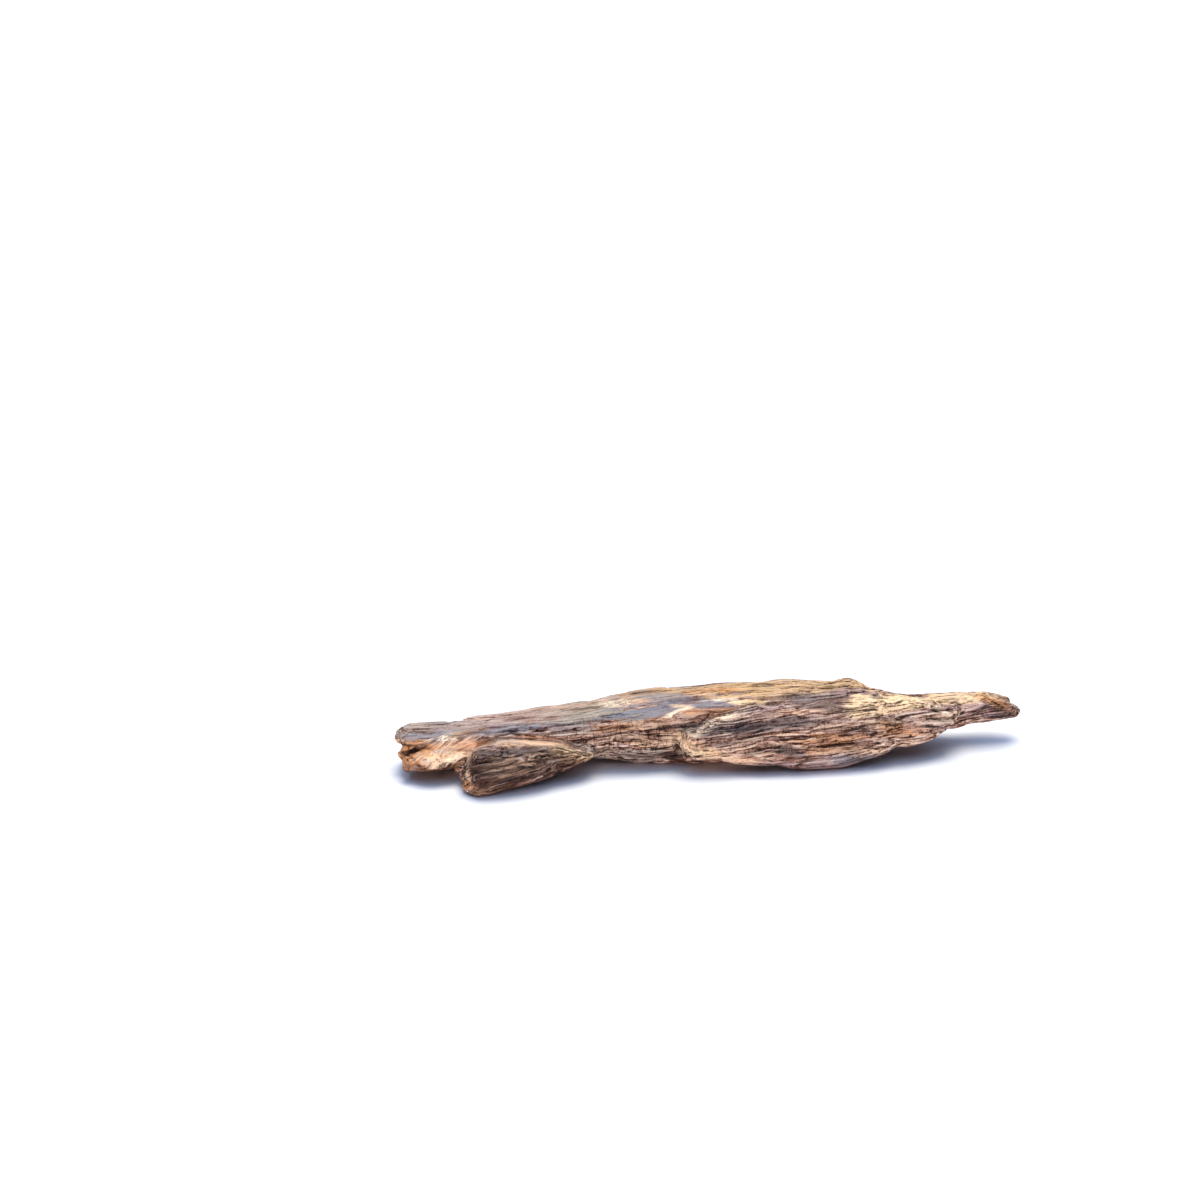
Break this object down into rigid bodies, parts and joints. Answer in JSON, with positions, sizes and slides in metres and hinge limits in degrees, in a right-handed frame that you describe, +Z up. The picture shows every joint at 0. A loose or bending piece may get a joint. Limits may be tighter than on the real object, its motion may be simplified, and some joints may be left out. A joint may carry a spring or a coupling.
{
  "type": "agarwood piece",
  "caption": "Long splinter of weathered agarwood with a blunt torn butt, a knob, a shield-shaped scale and a thin tail, lying on flat spots of its underside.",
  "frame": {"origin": "on the plane the piece lies on, under the middle of its bounding box", "axes": "+X along the grain from the torn butt to the thin tail, +Z up from the plane it lies on, -Y towards the side with the knob and the scale"},
  "size_m": [0.0914, 0.0212, 0.0113],
  "materials": {
    "agarwood": "raw weathered wood, streaked with dark resin, dull with a slight sheen on the resinous parts"
  },
  "bodies": {
    "root": {"agarwood_piece": "agarwood"}
  },
  "joints": []
}
